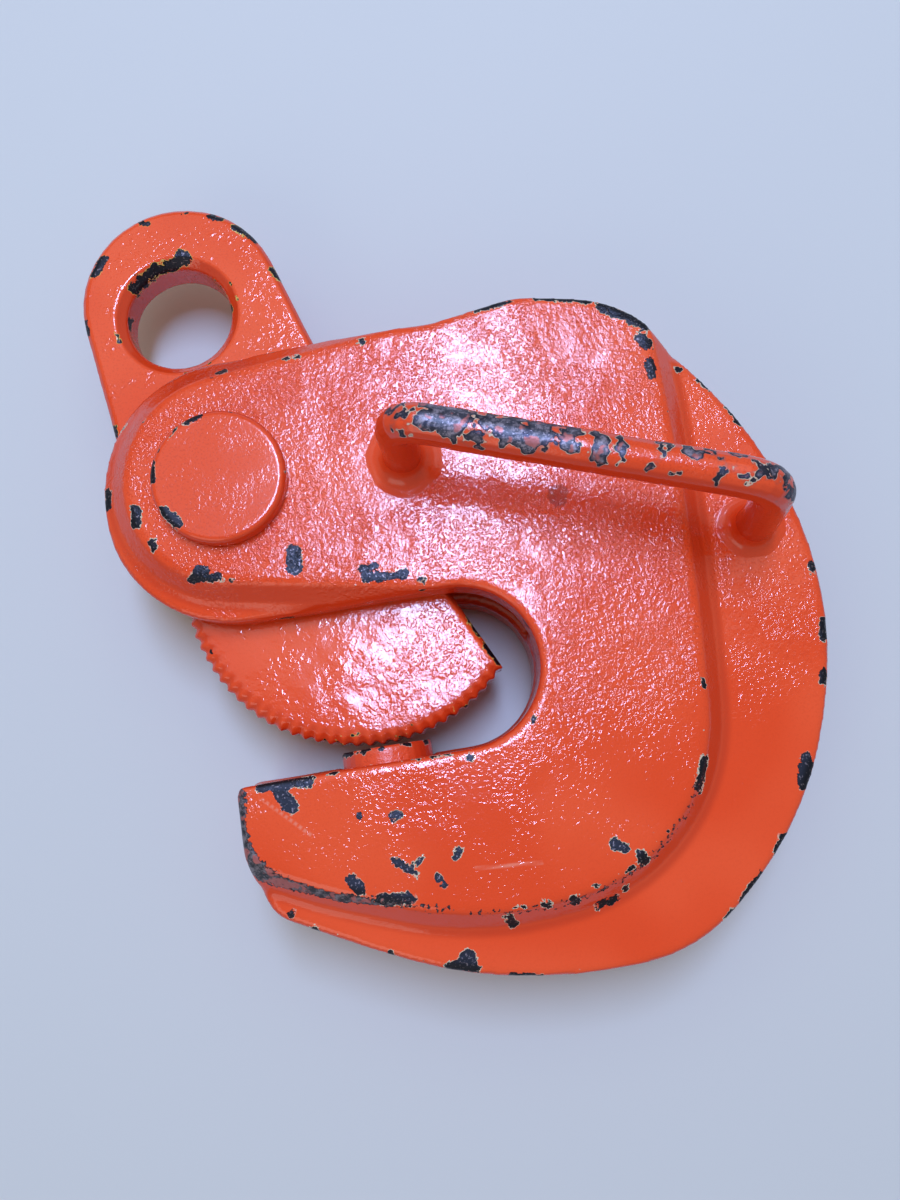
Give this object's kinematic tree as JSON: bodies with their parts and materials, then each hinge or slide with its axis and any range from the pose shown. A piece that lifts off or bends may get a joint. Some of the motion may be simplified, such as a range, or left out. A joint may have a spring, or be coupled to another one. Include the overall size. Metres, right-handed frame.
{
  "type": "plate lifting clamp",
  "caption": "Forged C-shaped plate lifting clamp: one-piece lever with lifting eye and toothed cam on a headed pin, round swivelling jaw, and a welded round-bar carrying handle.",
  "frame": {"origin": "the pivot pin's axis at its rear end face, which lies in the plane of the back face the clamp rests on", "axes": "+Z along the pivot pin towards the pin head and handle, +X along the lower jaw from its tip to the spine, +Y from the lower jaw towards the lifting eye"},
  "size_m": [0.2801, 0.3403, 0.1145],
  "materials": {
    "body_paint": "glossy orange-red enamel over a sandy forged skin, chipped to dark steel at the edges",
    "lever_paint": "glossy orange-red enamel, thinner over the cam teeth",
    "pin_paint": "smoother glossy orange-red enamel on the head",
    "handle_paint": "orange-red enamel, worn to scratched dark steel along the top of the grip",
    "jaw_paint": "overpainted hardened steel, worn on its toothed face",
    "bronze": "turned bronze",
    "washer_steel": "turned steel",
    "spring_steel": "blackened spring steel"
  },
  "bodies": {
    "frame": {"body": "body_paint", "pivot_pin": "pin_paint", "thrust_washer_front": "washer_steel", "thrust_washer_back": "washer_steel", "pin_retaining_washer": "washer_steel", "pin_circlip": "spring_steel", "jaw_roll_pin": "spring_steel", "handle_bar": "handle_paint", "handle_weld_left": "handle_paint", "handle_weld_right": "handle_paint"},
    "lever": {"cam_lever": "lever_paint", "cam_bushing": "bronze"},
    "jaw": {"swivel_jaw": "jaw_paint"}
  },
  "joints": [
    {"name": "cam_swing", "type": "hinge", "parent": "frame", "child": "lever", "pos_m": [0, 0, 0.033], "axis": [0, 0, 1], "range_deg": [0, 45]},
    {"name": "jaw_swivel", "type": "hinge", "parent": "frame", "child": "jaw", "pos_m": [0.0454, -0.119, 0.033], "axis": [0, 1, 0], "continuous": true}
  ]
}
